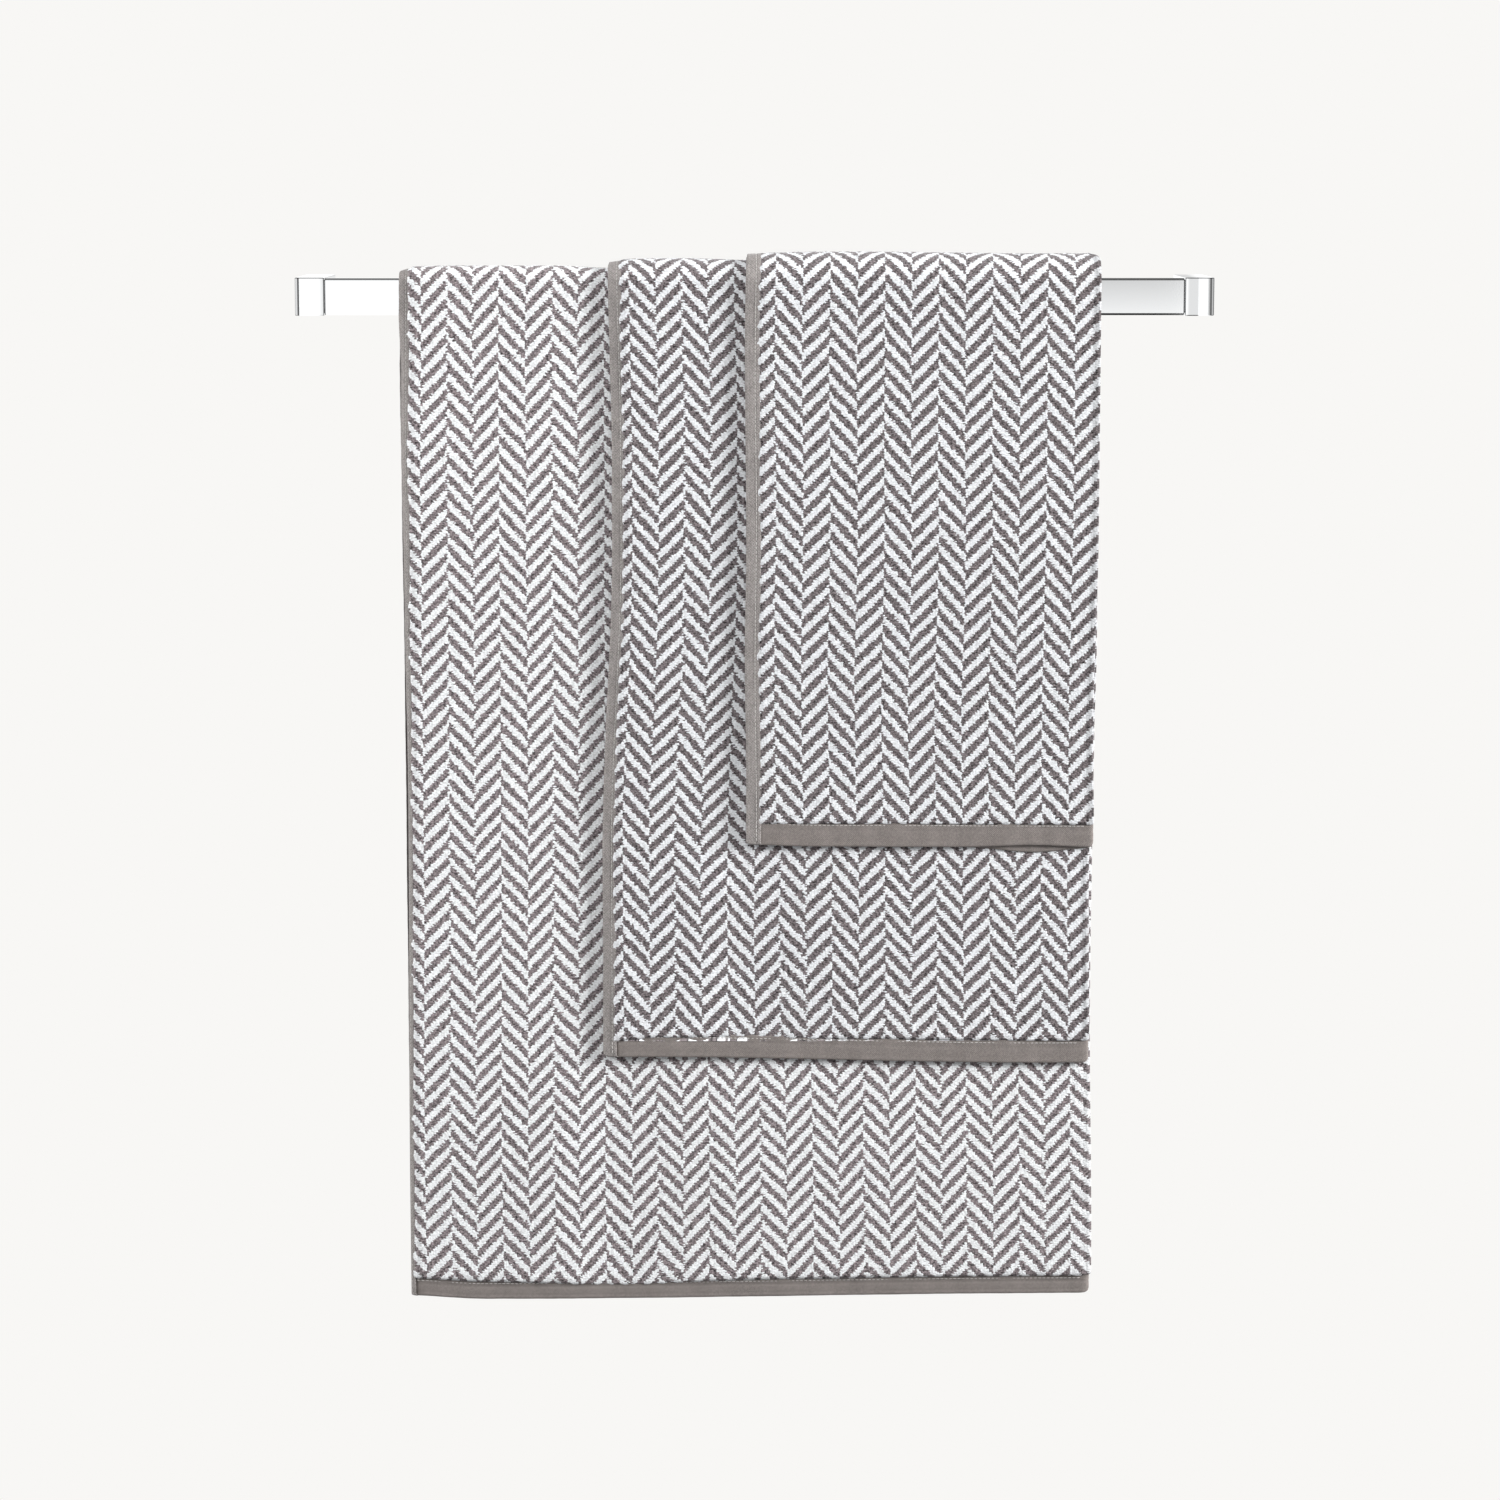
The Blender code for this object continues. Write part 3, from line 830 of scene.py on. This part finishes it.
def length_steps(towel, grid):
    """Where rings lie along the path: from hem to hem, with the arcs stepped finely."""
    lengths = towel.path[0]
    first, last = towel.end_hem - 0.0004, lengths[-1] - towel.end_hem + 0.0004
    stops = [first, first + 0.0008, first + 0.0020, lengths[1], lengths[2], lengths[3], lengths[4],
             last - 0.0020, last - 0.0008, last]
    steps = [first]
    for a, b in zip(stops, stops[1:]):
        count = max(1, round((b - a) / (grid if b - a > 0.04 else 0.0022)))
        steps += list(np.linspace(a, b, count + 1)[1:])
    return np.array(steps)


def press_dent(towel, x, out):
    """The face pressed down next to the towel that lies over it."""
    if towel.name not in DENTS:
        return out
    over, depth = DENTS[towel.name]
    edge = over.left - DENT_OVERLAP
    pressed = np.where(x < edge, bell(x, edge, DENT_REACH * 0.67), bell(x, edge, 0.05))
    return out - depth * pressed


def droop(towel, x):
    """How far the loops hang down over the hem, along the pile's lower edge."""
    if towel is sheet:
        return 0.0036 * bell(x, -0.096, 0.055)
    if towel is bath:
        return 0.0042 - 0.0026 * ease(x, -0.098, -0.062) - 0.0016 * ease(x, 0.02, 0.12)
    return 0.0016 * bell(x, towel.left, 0.03) + 0.0006


def whiteness(towel, u, v):
    """+1 where the flat cloth has the middle of a white stripe, -1 in the middle of a grey one."""
    p = PATTERNS[towel.name]
    along = u - p.seam + p.side * p.column
    slant = np.abs((along + p.column) % (2 * p.column) - p.column)
    phase = (v + p.skew * u - LEAN * slant) / p.pitch + p.shift + np.floor(along / p.column) % 2 / 2
    return np.cos(2 * math.pi * (phase - (1 + p.share) / 2))


def drape_terry(towel):
    """The whole doubled pile of one towel, hung over the bar."""
    rng = np.random.default_rng(len(towel.name) * 7 + round(towel.width * 100))
    grid = FACE_GRID[towel.name]
    start = towel.left + SHOWS_HEM[towel.name]
    fine = middle_line(towel, start, round((towel.fold - start) / grid), 22)
    rough = middle_line(towel, start, 16, 16)
    along = length_steps(towel, grid)
    rows = along[:, None]
    columns = []
    for (xs, outs, lengths), side in ((fine, 1), (rough, -1)):
        from_edge = np.minimum(lengths - lengths[0], lengths[-1] - lengths)
        half = towel.layer / 2 * roll_over(from_edge, EDGE_ROLL)
        ends = np.minimum(rows - along[0], along[-1] - rows)
        half = half[None, :] * roll_over(ends, END_ROLL)
        x, out = beside(xs, outs, side, half)
        if side > 0:
            upper = towel.top - towel.layer
            out = np.where(out > upper, press_dent(towel, x, out), out)
            out = out + rng.normal(0, PILE_UNEVEN, out.shape) * (outs[None, :] > upper)
        columns.append((x, out, np.broadcast_to(lengths, x.shape)))
    x, out, u = (np.concatenate([columns[0][i], columns[1][i][:, ::-1]], axis=1) for i in range(3))
    white = whiteness(towel, u, rows)
    near_hem = ease(along[0] + DROOP_REACH - rows, 0, DROOP_REACH)
    hung = rows - (droop(towel, x) + STRIPE_DROOP * white) * near_hem
    x = x - BULGE * white * np.clip(1 - (x - start) / BULGE_REACH, 0, 1)
    cloth_uv = np.stack([u, np.broadcast_to(rows, u.shape)], axis=-1)
    return skin(f"{towel.name}_terry", hang(towel, x, out, hung), cloth_uv, terry[towel.name])


for t in towels:
    t.terry = drape_terry(t)

# %% [markdown]
# ## Hems
# The long edges are turned and stitched into narrow flat hems, and the ends into wider ones. Each is a
# flat tube of doubled cloth: a rounded outer edge, a faint ridge where the turned edge ends, and a
# row of stitches through it.

# %% The section of a hem
HEM_THICK = 0.0015
HEM_ROUND = 0.0013  # how far in the outer edge's rounding goes
SEAM_SHARE = 0.66  # where the seam runs, as a share of the hem's width


def hem_section(width, points=16):
    """A hem's section as (across, up): a thin slab with a rounded outer edge and a stitched-in groove."""
    across = np.concatenate([[0, 0.0002, 0.0006], np.linspace(HEM_ROUND, width, points)])
    t = np.clip(1 - across / HEM_ROUND, 0, 1)
    up = HEM_THICK / 2 * np.maximum(np.sqrt(1 - t * t), 0.12)
    groove = 0.00034 * bell(across, width * SEAM_SHARE, 0.0006) + 0.0002 * bell(across, width * 0.22, 0.0005)
    top = np.stack([across, up - groove], axis=-1)
    under = np.stack([across, -up], axis=-1)[::-1]
    return np.concatenate([top, under])


# %% Sew the side hems
END_SINK = 0.0009  # the end hems lie lower than the middle of the loops, pressed onto what is beneath
SIDE_SINK = {"bath_sheet": 0.0, "bath_towel": 0.0009, "hand_towel": 0.0002}
UNDER_PILE = 0.0016  # how far a side hem reaches in under the loops
UNDER_SHIFT = 0.3  # the under hem peeps out by this share of what the solid's does


def side_hem(towel, layer_name, middle, shift):
    """One side hem, from end to end of the towel, on the outer or the under layer."""
    width = SHOWS_HEM[towel.name] + UNDER_PILE
    section = hem_section(width)
    lengths = towel.path[0]
    along = np.concatenate([
        np.linspace(0, 0.003, 4)[:-1], np.linspace(0.003, lengths[1], round(lengths[1] / 0.004)),
        np.linspace(lengths[1], lengths[4], 40)[1:-1],
        np.linspace(lengths[4], lengths[5] - 0.003, round((lengths[5] - lengths[4]) / 0.004)),
        np.linspace(lengths[5] - 0.003, lengths[5], 4)[1:],
    ])
    rows = along[:, None]
    pucker = 0.00012 * np.sin(rows / 0.0028) + 0.0002 * np.sin(rows / 0.019 + len(towel.name))
    ends = roll_over(np.minimum(rows, lengths[5] - rows), 0.0012)
    sink = SIDE_SINK[towel.name] if layer_name == "top" else 0.0
    slope = sink * (1 - section[None, :, 0] / width)
    x = towel.left + shift + section[None, :, 0] + pucker * 0.6 * (1 - section[None, :, 0] / width)
    x = x + corner_lift(section[None, :, 0], np.minimum(rows, lengths[5] - rows), 0.0025)
    out = middle - sink * 0.4 - slope + section[None, :, 1] * ends + pucker
    cloth_uv = np.stack(np.broadcast_arrays(section[None, :, 0], rows), axis=-1)
    return skin(f"{towel.name}_side_hem_{layer_name}", hang(towel, x, out, rows), cloth_uv, selvedge_cloth_painted_lighter)


for t in towels:
    shift_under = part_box(f"{t.name}_side_hem_inner")[0].x - t.left
    t.side_hems = [
        side_hem(t, "top", t.top - t.layer / 2, 0.0),
        side_hem(t, "under", t.base + t.layer / 2, shift_under * UNDER_SHIFT),
    ]

# %% Sew the end hems
PEEK = {"hand_towel": 0.0055}  # near the fold the layers part, and the under one shows below
FOLD_PINCH = 0.0002  # the flat hem folds tighter than the terry


def end_hem(towel, end):
    """One end hem: across the outer layer, round the fold and back across the under layer."""
    xs, outs, lengths = middle_line(towel, towel.left + towel.side_hem - 0.0010, 110, 110)
    xs = np.where(xs > towel.fold - 0.012, xs - FOLD_PINCH * ease(xs, towel.fold - 0.012, towel.fold), xs)
    section = hem_section(towel.end_hem)
    half_gap = (towel.top - towel.layer / 2 - towel.base - towel.layer / 2) / 2
    centre = towel.base + towel.layer / 2 + half_gap
    outs = centre + (outs - centre) * (1 - 0.25 * ease(xs, towel.fold - 0.03, towel.fold))
    dx, do = np.gradient(xs), np.gradient(outs)
    size = np.hypot(dx, do)
    under = (outs < centre)[:, None]
    wave = 0.00016 * np.sin(xs / 0.0031 + 1.3 * np.sin(xs / 0.011)) + 0.00018 * np.sin(xs / 0.013)
    rise = section[None, :, 0]
    drawn = corner_lift(np.clip(towel.fold - FOLD_PINCH - xs, 0, None)[:, None], rise, 0.004)
    ends = roll_over(np.minimum(lengths - lengths[0], lengths[-1] - lengths), 0.001)[:, None]
    up = section[None, :, 1] * ends
    x = xs[:, None] - up * (do / size)[:, None] - drawn
    out = outs[:, None] - END_SINK + up * (dx / size)[:, None] + wave[:, None]
    reach = towel.path[0][-1]
    along = np.broadcast_to(rise if end == "front" else reach - rise, x.shape)
    lens = PEEK.get(towel.name, 0.0) * bell(xs, towel.fold - 0.044, 0.030)[:, None]
    dip = lens * np.where(under, 0.7, -0.3) if end == "front" else 0.0
    cloth_uv = np.stack(np.broadcast_arrays(lengths[:, None], rise), axis=-1)
    return skin(f"{towel.name}_{end}_hem", hang(towel, x, out, along, dip), cloth_uv, hem_cloth)


for t in towels:
    t.end_hems = [end_hem(t, end) for end in ("front", "back")]

# %% [markdown]
# ## Stitches
# A lockstitch shows as short dashes of thread that dip into the cloth at both ends. One dash is
# modelled, and its points are copied along each seam.

# %% Model one stitch
STITCH_LONG = 0.0024
STITCH_PITCH = 0.0031
THREAD = 0.00055

bpy.ops.object.select_all(action="DESELECT")
bpy.ops.mesh.primitive_cylinder_add(vertices=6, radius=THREAD / 2, depth=STITCH_LONG,
                                    rotation=(math.pi / 2, 0, 0))
stitch = bpy.context.object
bpy.ops.object.transform_apply(rotation=True)
bpy.ops.object.mode_set(mode="EDIT")
for cut in (STITCH_LONG / 4, -STITCH_LONG / 4):
    bpy.ops.mesh.select_all(action="SELECT")
    bpy.ops.mesh.bisect(plane_co=(0, cut, 0), plane_no=(0, 1, 0))
bpy.ops.object.mode_set(mode="OBJECT")
for vertex in stitch.data.vertices:
    at_end = abs(vertex.co.y) > STITCH_LONG * 0.4
    if at_end:
        vertex.co.z = vertex.co.z * 0.6 - THREAD * 0.55
        vertex.co.x *= 0.6
stitch_points = np.array([v.co for v in stitch.data.vertices])
stitch_faces = [list(p.vertices) for p in stitch.data.polygons]
bpy.data.objects.remove(stitch)
print("a stitch has", len(stitch_points), "points and", len(stitch_faces), "faces")


# %% Run the seams
END_SEAM = 0.0024  # how far from the pile an end hem's seam runs


def seam_points(towel, across, out, along, lengthways):
    """Stitches at (across, out, along): their long way runs down the towel or across it."""
    side, far, up = stitch_points[:, 0], stitch_points[:, 1], stitch_points[:, 2]
    if lengthways:
        return hang(towel, across + side, out + up, along + far)
    return hang(towel, across + far, out + up, along + side)


def seam_piece(towel):
    """All the stitches that show on one towel's outer layer."""
    middle = towel.top - towel.layer / 2
    width = SHOWS_HEM[towel.name] + UNDER_PILE
    at = width * SEAM_SHARE
    side_out = middle - SIDE_SINK[towel.name] * (1.4 - at / width) + HEM_THICK / 2
    end_out = middle - END_SINK + HEM_THICK / 2
    reach = towel.path[0][-1]
    runs = []
    for along in np.arange(0.004, reach - 0.004, STITCH_PITCH):
        runs.append(seam_points(towel, towel.left + at, side_out, along, True))
    for along in (towel.end_hem - END_SEAM, reach - towel.end_hem + END_SEAM):
        for x in np.arange(towel.left + width + 0.002, towel.fold - 0.008, STITCH_PITCH):
            runs.append(seam_points(towel, x, end_out, along, False))
    print(f"{towel.name}: {len(runs)} stitches")
    points = np.concatenate(runs)
    count = len(stitch_points)
    faces = [[i + k * count for i in face] for k in range(len(runs)) for face in stitch_faces]
    return cloth_piece(f"{towel.name}_stitches", points, faces, points[:, [0, 2]], thread_cotton)


for t in towels:
    t.seams = seam_piece(t)

# %% [markdown]
# ## Care labels
# A blank satin tape is folded once and caught in the seam of each back hem, where nobody sees it from
# the front. It lies almost flat on the loops, a little lifted at its free end. Its two layers lie so
# close together that one thickened strip stands for both.

# %% Fold the care labels
def care_label(towel):
    """A short tape on the back of a towel, bent and thickened."""
    low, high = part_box(f"{towel.name}_care_label")
    wide, thick, tall = high - low
    bpy.ops.object.select_all(action="DESELECT")
    bpy.ops.mesh.primitive_grid_add(x_subdivisions=6, y_subdivisions=14, size=1,
                                    location=((low.x + high.x) / 2, low.y, (low.z + high.z) / 2),
                                    rotation=(-math.pi / 2, 0, 0))
    tape = bpy.context.object
    tape.name = f"{towel.name}_label"
    tape.scale = (wide, tall, 1)
    bpy.ops.object.transform_apply(location=True, rotation=True, scale=True)
    for vertex in tape.data.vertices:
        t = (vertex.co.z - low.z) / tall
        vertex.co.y += 0.0012 * t * t + 0.0003 * math.sin(vertex.co.x * 420) * t
        vertex.co.y += float(belly(vertex.co.z, True))
    thicken = tape.modifiers.new("thickness", "SOLIDIFY")
    thicken.thickness = thick * 0.8
    thicken.offset = 0
    bpy.ops.object.modifier_apply(modifier="thickness")
    tape.data.uv_layers[0].name = "cloth"
    for loop in tape.data.uv_layers["cloth"].data:
        loop.uv = (loop.uv[0] * wide, loop.uv[1] * tall)
    bpy.ops.object.shade_smooth()
    tape.data.materials.clear()
    tape.data.materials.append(label_tape)
    return tape


for t in towels:
    t.label = care_label(t)
    print(t.label.name, "faces", len(t.label.data.polygons))

# %% [markdown]
# ## Tie the pieces to the frame
# Each towel's pieces ride on its body, so they slide along the bar together, and each stands for the
# plain slab of the solid model that it replaces.

for t in towels:
    pieces = [t.terry, *t.side_hems, *t.end_hems, t.seams, t.label]
    for piece in pieces:
        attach(piece, t.name)
    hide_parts(f"{t.name}_pile")
    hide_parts(f"{t.name}_side_hem_outer")
    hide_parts(f"{t.name}_side_hem_inner")
    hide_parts(f"{t.name}_end_hem_front")
    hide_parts(f"{t.name}_end_hem_back")
    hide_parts(f"{t.name}_care_label")
